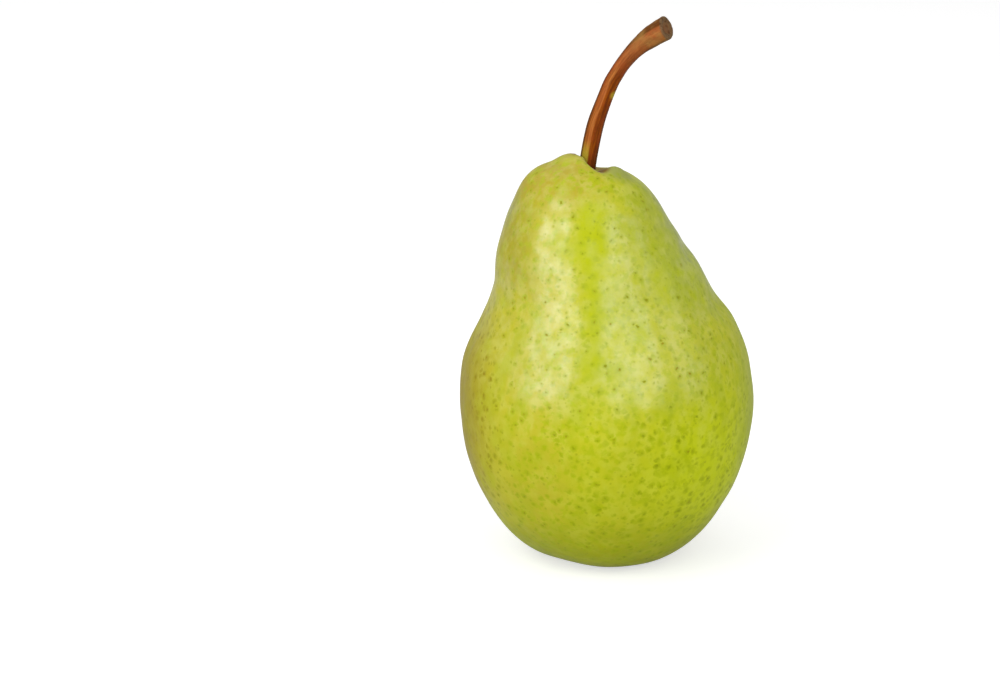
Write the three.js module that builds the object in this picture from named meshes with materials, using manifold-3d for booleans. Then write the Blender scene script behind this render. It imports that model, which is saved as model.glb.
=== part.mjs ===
// A whole dessert pear, standing on its base as it does on a table: the fruit with its stem
// cavity and its basin, the woody stem, and the dried calyx in the basin.
// Millimetres, +Z up. The front is -Y. The stem's tip leans towards +X.
import * as THREE from "three";
import { mergeVertices } from "three/addons/utils/BufferGeometryUtils.js";
import Module from "manifold-3d";

// ---------------------------------------------------------------- driving dimensions
const BELLY_WIDTH = 73.4; // across the widest ring
const SHOULDER_HEIGHT = 98.6; // the round top of the neck, above the table
const STEM_WIDTH = 4; // across the stem at half its length
const CLEARANCE = 0.4; // between one piece and the next

// The fruit's sections, from the middle of the basin up the outside to the floor of the stem
// cavity. Each is a ring: the height of its centre, its radius in plan, how far its centre stands
// to +X, how many degrees its plane is tipped, and the direction in which it is tipped down, in
// degrees round from +X.
const BELLY = BELLY_WIDTH / 2;
const TOP = SHOULDER_HEIGHT;
const POINTED = 0.02; // the radius of the rings that close the skin at its two ends
const BASIN = { depth: 6.2, floor: 2.6, mouth: 9, foot: 11.2 };
const CAVITY = { x: -5.7, depth: 5.4, throat: 2.7 };
const SECTIONS = [
  [BASIN.depth, POINTED, 0.6, 0, 0],
  [BASIN.depth, BASIN.floor, 0.6, 0, 0],
  [5.5, 4.2, 0.6, 0, 0],
  [3.4, 5.5, 0.5, 0, 0],
  [1.5, 7.2, 0.4, 0, 0],
  [0.3, BASIN.mouth, 0.3, 0, 0],
  [-0.3, BASIN.foot, 0.2, 0, 0],
  [0.55, 13.8, 0.2, 0, 0],
  [1.9, 18, 0.2, 0, 0],
  [4.9, 23.4, 0.2, 0, 0],
  [10.7, 27.9, 0.2, 0, 0],
  [18.2, 32.1, 0.2, 0, 0],
  [28.2, BELLY - 1.2, 0.2, 0, 0],
  [40.2, BELLY, 0.2, 0, 0],
  [50.2, 35.3, 0.2, 0, 0],
  [58.1, 32.1, 0.3, 0, 0],
  [63.6, 29.2, 0, 0.8, 0],
  [69.4, 26.3, -0.9, 2.4, 0],
  [76.2, 24.2, -2.2, 4.1, 0],
  [82.4, 21.7, -3.3, 5.6, 0],
  [88.1, 18.8, -3.9, 7.4, 10],
  [92.8, 16, -4.4, 8.4, 20],
  [TOP - 2.6, 13.2, -4.4, 9.8, 32],
  [TOP - 0.7, 10, -4.2, 11.3, 40],
  [TOP, 7.6, -4.1, 12.5, 45],
  [TOP - 0.4, 5.3, -4.1, 12, 45],
  [TOP - 0.8, 4, -4.4, 13, 40],
  [TOP - 1.3, 2.8, -4.8, 18, 20],
  [TOP - 2.4, CAVITY.throat, -5.1, 14, 30],
  [TOP - 3.9, CAVITY.throat, -5.3, 6, 30],
  [TOP - CAVITY.depth, CAVITY.throat, CAVITY.x, 0, 0],
  [TOP - CAVITY.depth, POINTED, CAVITY.x, 0, 0],
];
const RINGS_PER_SECTION = 2;
const INNER_SECTIONS = 4; // of the sections, those inside the stem cavity
const FRUIT_SIDES = 60;

// The flesh swells up against the stem in a lip on one side. It is whole within flatHalf degrees
// of its direction and gone at endHalf. It slopes down from its crest to nothing at reach, both
// measured from the stem. Down the cavity's wall it is whole at wallWhole below the shoulder and
// gone at wallGone.
const LIP = {
  height: 3,
  x: -4.8,
  towards: 215,
  flatHalf: 35,
  endHalf: 95,
  crest: 2.8,
  reach: 9.5,
  wallWhole: 1.1,
  wallGone: 3.9,
};

// Five low lobes round the basin, one of them in the direction turn, in radians round from +X:
// the fruit stands on their flattened tips. Between the lobes the underside is lifted by lift, and
// the belly above them swells by a share of its radius. Each pair is the radius or the height over
// which that effect comes in or dies away.
const LOBES = {
  count: 5,
  turn: 0.94,
  lift: 0.5,
  liftRadius: [4, BASIN.foot],
  liftHeight: [2, 12],
  swell: 0.016,
  swellRadius: [BASIN.mouth, 20],
  swellHeight: [8, 44],
};

// Slow unevenness of the sides, as shares of the radius. It comes in over the first pair of
// heights and dies away over the second, and it vanishes in the X-Z plane.
const UNEVEN = {
  twofold: 0.01,
  threefold: 0.008,
  turnPerMm: 0.02,
  straightAt: 36,
  lag: 0.8,
  comesIn: [6, 30],
  diesAway: [82, 96],
};

// The stem's route from its root in the cavity to its tip: x, y, height above the cavity's floor.
const STEM_FLOOR = SHOULDER_HEIGHT - CAVITY.depth + CLEARANCE;
const STEM_ROUTE = [
  [CAVITY.x, 0, 0.3],
  [-5.1, 0, 3.4],
  [-4.5, 0, 8],
  [-3.3, -0.1, 14.1],
  [-1.95, -0.4, 18.6],
  [0.1, -0.9, 24.6],
  [1.65, -1.3, 27.6],
  [3.65, -1.7, 30.6],
  [6.2, -2.3, 33.9],
  [9.5, -2.9, 36.6],
  [13.5, -3.6, 39.2],
];
// Its half-width along that route, as shares of STEM_WIDTH / 2.
const STEM_GIRTH = [0.98, 1.0, 1.06, 1.05, 1.0, 0.95, 0.93, 0.93, 1.05, 1.3, 1.47];
const STEM_SIDES = 18;
const STEM_RINGS_PER_POINT = 3;
// Its grooves: how many, how deep as a share of the girth, and their twist over the whole length.
const STEM_GROOVES = { count: 5, depth: 0.045, twist: 4 };
// The end where it let go of the twig, a rounded rim round a shallow dished scar: the size of each
// closing ring as a share of the last full one, and how far forward of it the ring stands.
const STEM_TIP = [
  [0.94, 0.55],
  [0.8, 0.75],
  [0.55, 0.45],
  [0.25, 0.3],
];

// The calyx: a short cup with five curled sepals and the stubs of the stamens.
const CUP = { outer: 2.9, inner: 2.1, height: 1.9, floor: 0.7, centre: 0.3, sides: 12 };
// A sepal's root stands rootOut beyond the cup's inner wall and rootDown below its top. As shares
// of its length, it reaches out by out, less the curl of its tip, and comes down by fall.
const SEPAL = {
  count: 5,
  stations: 7,
  width: 2.9,
  length: 5.2,
  thickness: 0.7,
  rootOut: 0.4,
  rootDown: 1.3,
  out: 0.62,
  curl: 0.12,
  fall: 0.62,
  tipHalfWidth: 0.12,
  channel: 0.35, // how far its edges hang below its middle, at the root
  keel: 0.2, // how far its middle stands out beyond its edges
};
// A stamen's stub starts on a ring round the axis, rootDown below the cup's top, and leans outwards
// by lean, which leanVaries makes a little different for each.
const STAMEN = {
  count: 7,
  sides: 4,
  radius: 0.3,
  tip: 0.55,
  length: 1.7,
  ring: 1.15,
  turn: 0.3,
  rootDown: 0.5,
  lean: 0.25,
  leanVaries: 0.1,
};

// ---------------------------------------------------------------- shared helpers
const TURN = Math.PI * 2;
const radians = THREE.MathUtils.degToRad;
const step = THREE.MathUtils.smoothstep;
const UP = new THREE.Vector3(0, 0, 1);

// A closed skin over rings of points, all with the same number of points, from the first ring to
// the last, with a fan over each end.
function loft(rings) {
  const sides = rings[0].length;
  const points = rings.flat();
  const first = points.push(middle(rings[0])) - 1;
  const last = points.push(middle(rings.at(-1))) - 1;
  const faces = [];
  for (let side = 0; side < sides; side++) {
    const next = (side + 1) % sides;
    faces.push(first, next, side);
    for (let ring = 0; ring + 1 < rings.length; ring++) {
      const low = ring * sides;
      const high = low + sides;
      faces.push(low + side, low + next, high + next);
      faces.push(low + side, high + next, high + side);
    }
    const top = (rings.length - 1) * sides;
    faces.push(top + side, top + next, last);
  }
  return new THREE.BufferGeometry().setFromPoints(points).setIndex(faces);
}

function middle(ring) {
  const sum = ring.reduce((total, point) => total.add(point), new THREE.Vector3());
  return sum.divideScalar(ring.length);
}

// ---------------------------------------------------------------- the fruit
// Height, radius and centre of the sections run together as one smooth curve, and so does the
// fall of their planes, as a rise per millimetre to +X and to the back.
function fruitSections() {
  const path = new THREE.CatmullRomCurve3(
    SECTIONS.map(([height, radius, x]) => new THREE.Vector3(x, radius, height)),
    false,
    "centripetal",
  );
  const falls = new THREE.CatmullRomCurve3(
    SECTIONS.map(([, , , tip, low]) =>
      new THREE.Vector3(Math.tan(radians(tip)), 0, 0).applyAxisAngle(UP, radians(low)),
    ),
    false,
    "catmullrom",
  );
  const count = (SECTIONS.length - 1) * RINGS_PER_SECTION;
  return Array.from({ length: count + 1 }, (_, index) => {
    const { x, y: radius, z: height } = path.getPoint(index / count);
    const inside = index > count - INNER_SECTIONS * RINGS_PER_SECTION;
    const fall = falls.getPoint(index / count);
    return { height, radius: Math.max(radius, POINTED), x, fall, inside };
  });
}

// The point of a section's ring at an angle from +X, with the lobes, the unevenness and the lip.
function fruitPoint({ height, radius, x, fall, inside }, angle) {
  // 0 on the middle of a lobe, 1 midway between two
  const between = (1 - Math.cos(LOBES.count * (angle - LOBES.turn))) / 2;
  const swelling = (1 - step(height, ...LOBES.swellHeight)) * step(radius, ...LOBES.swellRadius);
  const lifting = step(radius, ...LOBES.liftRadius) * (1 - step(height, ...LOBES.liftHeight));
  const side = step(height, ...UNEVEN.comesIn) * (1 - step(height, ...UNEVEN.diesAway));
  const turn = UNEVEN.turnPerMm * (height - UNEVEN.straightAt);
  const swell =
    swelling * LOBES.swell * (0.5 - between) +
    side * UNEVEN.twofold * Math.sin(2 * angle) * Math.cos(turn) +
    side * UNEVEN.threefold * Math.sin(3 * angle) * Math.sin(turn + UNEVEN.lag);
  const reach = radius * (1 + swell);
  const out = new THREE.Vector3(reach * Math.cos(angle), reach * Math.sin(angle), 0);
  const z = height - out.dot(fall) + LOBES.lift * between * lifting;
  const point = new THREE.Vector3(x + out.x, out.y, Math.max(z, 0));
  if (height > TOP / 2) point.z += lipHeight(point, inside ? height : TOP);
  return point;
}

// How much the lip adds at a point on top of the neck; down the cavity's wall it dies away.
function lipHeight(point, level) {
  const fromStem = new THREE.Vector2(point.x - LIP.x, point.y);
  const off = Math.abs(THREE.MathUtils.radToDeg(fromStem.angle()) - LIP.towards);
  const round = 1 - step(Math.min(off, 360 - off), LIP.flatHalf, LIP.endHalf);
  const across = 1 - step(fromStem.length(), LIP.crest, LIP.reach);
  const onWall = step(level, TOP - LIP.wallGone, TOP - LIP.wallWhole);
  return LIP.height * round * across * onWall;
}

function fruitGeometry() {
  const rings = fruitSections().map((section) =>
    Array.from({ length: FRUIT_SIDES }, (_, side) =>
      fruitPoint(section, (side / FRUIT_SIDES) * TURN),
    ),
  );
  return loft(rings);
}

// ---------------------------------------------------------------- the stem
function stemGeometry() {
  const route = new THREE.CatmullRomCurve3(
    STEM_ROUTE.map(([x, y, z]) => new THREE.Vector3(x, y, z + STEM_FLOOR)),
    false,
    "centripetal",
  );
  const count = (STEM_ROUTE.length - 1) * STEM_RINGS_PER_POINT;
  const across = new THREE.Vector3(0, 1, 0);
  const rings = [];
  for (let index = 0; index <= count; index++) {
    const place = (index / count) * (STEM_ROUTE.length - 1);
    const below = STEM_GIRTH[Math.floor(place)];
    const above = STEM_GIRTH[Math.ceil(place)];
    const girth = (STEM_WIDTH / 2) * THREE.MathUtils.lerp(below, above, place % 1);
    const centre = route.getPoint(index / count);
    const along = route.getTangent(index / count);
    const side = new THREE.Vector3().crossVectors(across, along).normalize();
    const front = new THREE.Vector3().crossVectors(along, side);
    rings.push(stemRing(centre, side, front, girth, index / count));
  }
  const along = route.getTangent(1);
  return loft([...rings, ...stemTip(rings.at(-1), along)]);
}

function stemRing(centre, side, front, girth, share) {
  return Array.from({ length: STEM_SIDES }, (_, index) => {
    const angle = (index / STEM_SIDES) * TURN;
    const turn = STEM_GROOVES.count * angle + STEM_GROOVES.twist * share;
    const groove = STEM_GROOVES.depth * Math.cos(turn);
    const reach = girth * (1 + groove);
    return centre
      .clone()
      .addScaledVector(side, reach * Math.cos(angle))
      .addScaledVector(front, reach * Math.sin(angle));
  });
}

function stemTip(ring, along) {
  const centre = middle(ring);
  return STEM_TIP.map(([share, forward]) =>
    ring.map((point) => centre.clone().lerp(point, share).addScaledVector(along, forward)),
  );
}

// ---------------------------------------------------------------- the calyx
function calyxRings(profile, sides) {
  return profile.map(([radius, z]) =>
    Array.from({ length: sides }, (_, index) => {
      const angle = (index / sides) * TURN;
      return new THREE.Vector3(radius * Math.cos(angle), radius * Math.sin(angle), z);
    }),
  );
}

// Built mouth down, as it sits in the basin: the cup's closed end is at the top.
function cupGeometry(top) {
  const mouth = top - CUP.height;
  const profile = [
    [CUP.centre, top - CUP.floor],
    [CUP.inner, top - CUP.floor],
    [CUP.inner, mouth],
    [CUP.outer, mouth],
    [CUP.outer, top],
    [CUP.centre, top],
  ];
  return loft(calyxRings(profile, CUP.sides));
}

// One sepal, pointing out along +X: a pointed blade that follows the basin's wall down, then
// curls inwards at its tip.
function sepalGeometry(top) {
  const rings = [];
  for (let index = 0; index < SEPAL.stations; index++) {
    const share = index / (SEPAL.stations - 1);
    const out = SEPAL.out * share - SEPAL.curl * share ** 3;
    const along = CUP.inner + SEPAL.rootOut + SEPAL.length * out;
    const z = top - SEPAL.rootDown - SEPAL.length * SEPAL.fall * share ** 1.3;
    const half = (SEPAL.width / 2) * (1 - share ** 1.7) + SEPAL.tipHalfWidth;
    const thick = SEPAL.thickness / 2;
    const channel = SEPAL.channel * (1 - share);
    rings.push([
      new THREE.Vector3(along, -half, z - thick - channel),
      new THREE.Vector3(along + SEPAL.keel, 0, z - thick),
      new THREE.Vector3(along, half, z - thick - channel),
      new THREE.Vector3(along, half, z + thick - channel),
      new THREE.Vector3(along + SEPAL.keel, 0, z + thick),
      new THREE.Vector3(along, -half, z + thick - channel),
    ]);
  }
  return loft(rings);
}

// The stub of one stamen: a tapered square rod from the cup's floor down into its mouth.
function stamenGeometry(top, index) {
  const angle = (index / STAMEN.count) * TURN + STAMEN.turn;
  const lean = STAMEN.lean + STAMEN.leanVaries * Math.sin(5 * index);
  const rings = [1, STAMEN.tip].map((girth, end) => {
    const z = top - STAMEN.rootDown - end * STAMEN.length;
    const out = STAMEN.ring + end * lean;
    return Array.from({ length: STAMEN.sides }, (_, side) => {
      const turn = (side / STAMEN.sides) * TURN;
      return new THREE.Vector3(
        out * Math.cos(angle) + girth * STAMEN.radius * Math.cos(turn),
        out * Math.sin(angle) + girth * STAMEN.radius * Math.sin(turn),
        z,
      );
    });
  });
  return loft(rings);
}

// ---------------------------------------------------------------- closed solids
const wasm = await Module();
wasm.setup();

// A checked, closed solid from a skin, with its faces outwards.
function solidOf(geometry) {
  const bare = geometry.clone();
  bare.deleteAttribute("normal");
  bare.deleteAttribute("uv");
  const merged = mergeVertices(bare, 1e-4);
  const solid = new wasm.Manifold(
    new wasm.Mesh({
      numProp: 3,
      vertProperties: new Float32Array(merged.attributes.position.array),
      triVerts: new Uint32Array(merged.index.array),
    }),
  );
  return solid.volume() < 0 ? turned(merged) : solid;
}

// The same skin with its faces turned round.
function turned(geometry) {
  const index = geometry.index.array;
  for (let i = 0; i < index.length; i += 3) {
    [index[i + 1], index[i + 2]] = [index[i + 2], index[i + 1]];
  }
  return solidOf(geometry);
}

function geometryOf(solid) {
  const mesh = solid.getMesh();
  const geometry = new THREE.BufferGeometry();
  geometry.setAttribute("position", new THREE.BufferAttribute(mesh.vertProperties, 3));
  geometry.setIndex(new THREE.BufferAttribute(mesh.triVerts, 1));
  geometry.computeVertexNormals();
  return geometry;
}

function calyxGeometry() {
  const top = BASIN.depth - CLEARANCE;
  let calyx = solidOf(cupGeometry(top));
  for (let index = 0; index < SEPAL.count; index++) {
    const sepal = sepalGeometry(top).rotateZ((index / SEPAL.count) * TURN);
    calyx = calyx.add(solidOf(sepal));
  }
  for (let index = 0; index < STAMEN.count; index++) {
    calyx = calyx.add(solidOf(stamenGeometry(top, index)));
  }
  return geometryOf(calyx).translate(SECTIONS[0][2], 0, 0);
}

// ---------------------------------------------------------------- the pear
function piece(name, geometry, color, roughness) {
  const closed = geometryOf(solidOf(geometry));
  const material = new THREE.MeshStandardMaterial({ color, roughness, metalness: 0 });
  const mesh = new THREE.Mesh(closed, material);
  mesh.name = name;
  return mesh;
}

const pear = new THREE.Group();
pear.add(piece("fruit", fruitGeometry(), 0xb4c23a, 0.42));
pear.add(piece("stem", stemGeometry(), 0x8a4a22, 0.6));
pear.add(piece("calyx", calyxGeometry(), 0x4a2614, 0.75));

// The origin is under the middle of the whole pear, on the table.
const box = new THREE.Box3().setFromObject(pear);
const centre = box.getCenter(new THREE.Vector3());
pear.position.set(-centre.x, -centre.y, -box.min.z);

export default pear;
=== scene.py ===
# %% [markdown]
# # A whole dessert pear
# The pear is three pieces, as it grew: the fruit, its woody stem and the dried calyx in the basin
# underneath. The solids of all three are already made and fixed in place. This lesson gives them
# their fine surfaces, then lights them and sets up the camera.
# Lengths are in metres, +Z is up, and the front of the pear is -Y.

# %% Load the fixed solids
import math
import random

import bpy
from mathutils import Matrix, Vector, noise
from mathutils.kdtree import KDTree


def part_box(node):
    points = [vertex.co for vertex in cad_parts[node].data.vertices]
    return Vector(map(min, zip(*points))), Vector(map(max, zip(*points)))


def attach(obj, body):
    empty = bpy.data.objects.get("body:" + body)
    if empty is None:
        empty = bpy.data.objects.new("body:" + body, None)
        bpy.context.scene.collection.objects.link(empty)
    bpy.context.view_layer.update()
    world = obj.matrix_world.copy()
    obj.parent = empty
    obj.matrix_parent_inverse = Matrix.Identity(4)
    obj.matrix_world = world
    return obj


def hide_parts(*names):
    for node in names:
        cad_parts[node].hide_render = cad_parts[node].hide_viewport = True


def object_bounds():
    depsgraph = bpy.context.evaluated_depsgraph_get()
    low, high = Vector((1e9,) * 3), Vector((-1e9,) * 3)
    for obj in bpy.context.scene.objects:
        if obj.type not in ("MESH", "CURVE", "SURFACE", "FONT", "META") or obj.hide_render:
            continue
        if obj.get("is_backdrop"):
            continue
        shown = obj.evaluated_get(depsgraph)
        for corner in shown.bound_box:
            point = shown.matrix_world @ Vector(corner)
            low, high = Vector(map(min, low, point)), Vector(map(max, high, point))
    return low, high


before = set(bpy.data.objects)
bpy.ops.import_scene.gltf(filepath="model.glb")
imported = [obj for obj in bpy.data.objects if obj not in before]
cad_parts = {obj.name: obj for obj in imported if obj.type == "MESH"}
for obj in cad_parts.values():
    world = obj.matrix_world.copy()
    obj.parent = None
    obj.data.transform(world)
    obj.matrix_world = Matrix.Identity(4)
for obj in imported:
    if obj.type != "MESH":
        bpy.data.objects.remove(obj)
cad_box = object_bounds()
MM = 0.001
print("solids:", sorted(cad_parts))
print("whole pear, mm:", [round(side / MM, 1) for side in cad_box[1] - cad_box[0]])

# %% [markdown]
# ## The camera
# A long lens from a little above the table, so the pear keeps its true proportions. The pear
# stands to the right of the view's middle, so the camera aims at a point to its left.

# %% Set up the camera
AIM = Vector((-26.3, 0, 52.2)) * MM
DISTANCE = 685 * MM
ELEVATION = math.radians(17)

camera_data = bpy.data.cameras.new("camera")
camera_data.lens = 100
camera_data.sensor_width = 36
camera_data.clip_start = 0.05
camera = bpy.data.objects.new("camera", camera_data)
bpy.context.scene.collection.objects.link(camera)
towards_camera = Vector((0, -math.cos(ELEVATION), math.sin(ELEVATION)))
camera.location = AIM + towards_camera * DISTANCE
camera.rotation_euler = (-towards_camera).to_track_quat("-Z", "Y").to_euler()
bpy.context.scene.camera = camera
print("camera at, mm:", [round(value / MM) for value in camera.location])

# %% [markdown]
# ## The studio
# A studio shows fruit on a sheet of white paper between two soft boxes. The boxes stand left and
# right of the camera with a gap between them, and the waxy skin mirrors them as two pale upright
# bands with a greener band between. Area lights could be plain points, but only a real width
# and height give those bands. Weaker panels, one at the right and two behind the pear, keep its
# edges pale.

# %% Place the lights
LIGHT_DISTANCE = 1.0
FILL_LIGHT = 0.3


def softbox(name, azimuth, elevation, size, radiance):
    """A soft box that faces the pear. Azimuth is in degrees to the right of the camera."""
    data = bpy.data.lights.new(name, "AREA")
    data.shape = "RECTANGLE"
    data.size, data.size_y = size
    data.energy = radiance * size[0] * size[1] * math.pi
    box = bpy.data.objects.new(name, data)
    turn, rise = math.radians(azimuth), math.radians(elevation)
    level = Vector((math.sin(turn), -math.cos(turn), 0))
    outwards = level * math.cos(rise) + Vector((0, 0, math.sin(rise)))
    box.location = Vector((0, 0, AIM.z)) + outwards * LIGHT_DISTANCE
    box.rotation_euler = (-outwards).to_track_quat("-Z", "Y").to_euler()
    bpy.context.scene.collection.objects.link(box)


# name, degrees to the right of the camera, degrees up, width and height in metres, and strength
softbox("left_box", -54.5, 30, (0.78, 1.15), 2.75)
softbox("right_box", 26, 31, (0.88, 1.15), 1.65)
softbox("right_panel", 75, 20, (0.5, 0.6), 0.8)
softbox("back_left_panel", -145, 50, (0.9, 0.9), 0.7)
softbox("back_right_panel", 145, 50, (0.9, 0.9), 0.45)

world = bpy.data.worlds.new("studio")
world.use_nodes = True
backdrop = world.node_tree.nodes["Background"]
backdrop.inputs["Color"].default_value = (1, 1, 1, 1)
backdrop.inputs["Strength"].default_value = FILL_LIGHT
bpy.context.scene.world = world
bpy.context.scene.view_settings.view_transform = "Standard"
print("lights:", [light.name for light in bpy.data.lights])

# %% [markdown]
# ## Small helpers for modelling
# An operator works on all that is selected, and the loaded solids are selected. So each step
# first selects the one piece that it works on, and edit mode opens with all of that piece
# selected. Most shapes below grow by one more ring at a time: what is selected is extruded, and
# its end is made wider or narrower about its own middle.

# %% Define the modelling helpers
def take(piece):
    """Selects one piece alone and makes it the active one."""
    bpy.ops.object.select_all(action="DESELECT")
    bpy.context.view_layer.objects.active = piece
    piece.select_set(True)


def start_from(add, name, **settings):
    """A new primitive under its own name, with nothing else selected."""
    bpy.ops.object.select_all(action="DESELECT")
    add(**settings)
    bpy.context.object.name = name
    return bpy.context.object


def edit_all_of(piece):
    """Opens one piece in edit mode, with all of it selected."""
    take(piece)
    bpy.ops.object.mode_set(mode="EDIT")
    bpy.ops.mesh.select_all(action="SELECT")


def extrude(way, size, middle):
    """Extrudes what is selected, then resizes its end about a middle."""
    bpy.ops.mesh.extrude_region_move(TRANSFORM_OT_translate={"value": way})
    bpy.ops.transform.resize(value=size, center_override=middle)


print("edit mode can now be opened on one piece at a time")

# %% [markdown]
# ## Finishing helpers
# A modifier is applied as soon as it is added, so that every later step works on the real mesh.
# Smooth shading hides the last facets, and a count of triangles and sizes shows what was made.

# %% Define the finishing helpers
def finish_with(piece, kind, **settings):
    """Adds a modifier with these settings and applies it."""
    take(piece)
    modifier = piece.modifiers.new(kind.lower(), kind)
    for name, value in settings.items():
        setattr(modifier, name, value)
    bpy.ops.object.modifier_apply(modifier=modifier.name)


def smooth(piece):
    """Shades a piece as one soft surface."""
    take(piece)
    bpy.ops.object.shade_smooth()


def count(piece):
    """Prints a piece's triangles and sizes."""
    triangles = sum(len(face.vertices) - 2 for face in piece.data.polygons)
    sides = [round(side / MM, 1) for side in piece.dimensions]
    print(f"{piece.name}: {triangles} triangles, {sides} mm")


def progress(value, start, end):
    """How far a value is on its way from start to end, from 0 to 1; start may be the higher."""
    return min(max((value - start) / (end - start), 0), 1)


print("halfway from 10 to 20 is", progress(15, 10, 20))

# %% [markdown]
# ## The skin
# A pear's skin is one closed surface with no straight line in it. The solid has the right form but
# flat facets, and its triangles are loose. So the skin starts as a copy of it, whose triangles are
# merged to quads, and Catmull-Clark subdivision rounds it. Building the form again from a sphere
# would only risk a different outline.

# %% Round the skin
TOUCHING = 0.001 * MM
FLAT_ENOUGH = math.radians(60)

skin = bpy.data.objects.new("skin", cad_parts["fruit"].data.copy())
bpy.context.scene.collection.objects.link(skin)
skin.data.materials.clear()
edit_all_of(skin)
bpy.ops.mesh.remove_doubles(threshold=TOUCHING)
bpy.ops.mesh.tris_convert_to_quads(face_threshold=FLAT_ENOUGH, shape_threshold=math.pi)
bpy.ops.object.mode_set(mode="OBJECT")
finish_with(skin, "SUBSURF", levels=2, render_levels=2)
smooth(skin)
count(skin)

# %% [markdown]
# ## The skin's unevenness
# A pear swells unevenly as it grows. The solid is a little too regular, so a slow noise moves each
# point of the skin in or out by a fraction of a millimetre, and a few soft swells and dents stand
# where one side grew faster. Some of these reach part of the way round, like a shallow valley, for
# a round dent on the side of the neck would show its own rim. The feet under the base and the
# hollow round the stem stay as they are: the one meets the table, the other holds the stem.
# Sculpting by hand would give the same, but it could not be run again. A list of swells can.

# %% List the swells
# across, back and height of the middle, the rise and the reach of the swell, all in mm, and how
# many times further it reaches from front to back
SWELLS = [
    (23.3, -2, 73.6, 0.4, 4.9, 3),
    (20.3, -2, 78.3, -0.85, 3.2, 3),
    (16.1, -2, 85, -0.47, 3.8, 3),
    (28.4, -2, 65, -0.63, 4.0, 3),
    (7, -2, 97.5, -0.5, 4.5, 1),
    (-25.5, -3, 75, 0.9, 6.0, 1),
    (-31.5, -2, 57.5, -0.65, 7.0, 1),
    (-14, -6, 97, -0.55, 6.0, 1),
    (0.8, -3, 98, 0.9, 3.0, 1),
    (-3.5, 7.5, 96.5, -0.8, 4.0, 1),
    (30, 8, 60, 0.35, 8.0, 1),
    (-30, 12, 50, 0.5, 12.0, 1),
    (8, 28, 66, 0.6, 11.0, 1),
]
print("swells:", len(SWELLS), "the highest", max(swell[3] for swell in SWELLS), "mm")

# %% [markdown]
# ## The fold in the hollow's lip
# The flesh swells up against the stem in a lip, and where the lip runs out, to the right in
# front, it leaves a short fold. The fold is a dent with a soft edge, longer than it is wide, that
# points away from the stem. It takes no more than the lip: the flesh further down stays.

# %% Say how deep the fold is
CREASE = Vector((-3.3, -5.6, 99))
CREASE_DEPTH = 1.9
CREASE_LENGTH = 3.2
CREASE_WIDTH = 1.5
CREASE_WAY = Vector((0.5, -0.87, 0))
CREASE_DROP = 8


def crease(place):
    """The depth of the fold at a place, all in mm."""
    offset = place - CREASE
    if offset.z < -CREASE_DROP:
        return 0
    along = offset.dot(CREASE_WAY) / CREASE_LENGTH
    over = (offset.y * CREASE_WAY.x - offset.x * CREASE_WAY.y) / CREASE_WIDTH
    return CREASE_DEPTH * math.exp(-along * along - over * over)


print("the fold is", round(crease(CREASE), 2), "mm deep")

# %% [markdown]
# ## The roundness of the base
# The base is a little fuller than the solid before it turns up, and a little less full further
# out, so two rings round its middle say how much. One swell more fills the valley between two of
# the low lobes in front on the right. All of it fades out at the feet, which stay on the table.

# %% Say how much fuller the base is
# each ring's distance from the middle, its rise and its reach, in mm
BASE_RINGS = [(17.3, 0.4, 3.0), (24.1, -0.27, 2.7)]
VALLEY = Vector((10.6, -14.6, 2.6))
VALLEY_FILL = 0.64
VALLEY_REACH = 7
# the heights between which it fades in above the feet, and out again further up
ABOVE_FEET = (0, 0.5)
BASE_TOP = (16, 10)


def fuller(place):
    """How far, in mm, a point of the base is moved outwards."""
    move = VALLEY_FILL * math.exp(-(((place - VALLEY).length / VALLEY_REACH) ** 2))
    for distance, rise, reach in BASE_RINGS:
        away = (place.xy.length - distance) / reach
        move += rise * math.exp(-away * away)
    return move * progress(place.z, *ABOVE_FEET) * progress(place.z, *BASE_TOP)


print("the base is", round(fuller(VALLEY), 2), "mm fuller in the valley")

# %% [markdown]
# ## Moving the skin
# Every point moves along its own outward direction. Those directions are all copied first,
# because moving one point makes Blender work out every direction again. The noise lies a little
# inwards as a whole, so that the skin stays within the size of the solid.

# %% Swell the skin
# the size of each noise's lumps, where it is read, and its height, in mm
SLOW_NOISES = [(16, Vector((3, 1, 7)), 0.5), (6, Vector((8, 5, 2)), 0.16)]
INWARDS = 0.15
# the heights between which the skin becomes uneven, above the feet
UNEVEN_ABOVE = (3, 15)
# the middle of the hollow, a height that all of it lies above, and the distances between which
# the skin becomes uneven round it
HOLLOW = Vector((-5.9, 0.24))
HOLLOW_ABOVE = 85
UNEVEN_BEYOND = (4, 8)


def uneven(place):
    """How far, in mm, a point of the skin is moved outwards."""
    move = -INWARDS
    for lumps, seed, rise in SLOW_NOISES:
        move += noise.noise(place / lumps + seed) * rise
    for *middle, rise, reach, longer in SWELLS:
        away = (place - Vector(middle)) / reach
        away.y /= longer
        move += rise * math.exp(-away.length_squared)
    move *= progress(place.z, *UNEVEN_ABOVE)
    if place.z > HOLLOW_ABOVE:
        move *= progress((place.xy - HOLLOW).length, *UNEVEN_BEYOND)
    return move + fuller(place) - crease(place)


ways_out = [vertex.normal.copy() for vertex in skin.data.vertices]
for vertex, way in zip(skin.data.vertices, ways_out):
    vertex.co += way * uneven(vertex.co / MM) * MM
count(skin)

# %% [markdown]
# ## The stem
# The stem is wood. It leans out of its hollow, bends over in one long curve and ends in a club,
# where it parted from the twig. A pipe along a curve gives the even sweep that stacked cylinders
# would not, and the curve can hold the stem's half-width at every point as well.

# %% Work out the stem's route
HALF_WIDTH = 2.0
STEPS_BETWEEN = 12
# The stem's solid is leftmost, hindmost and lowest at its root, so its box gives the root's place.
stem_low, stem_high = (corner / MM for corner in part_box("stem"))
FROM_CORNER = Vector((0.92, -1.045, 0.045)) * HALF_WIDTH
ROOT = Vector((stem_low.x, stem_high.y, stem_low.z)) + FROM_CORNER
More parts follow.
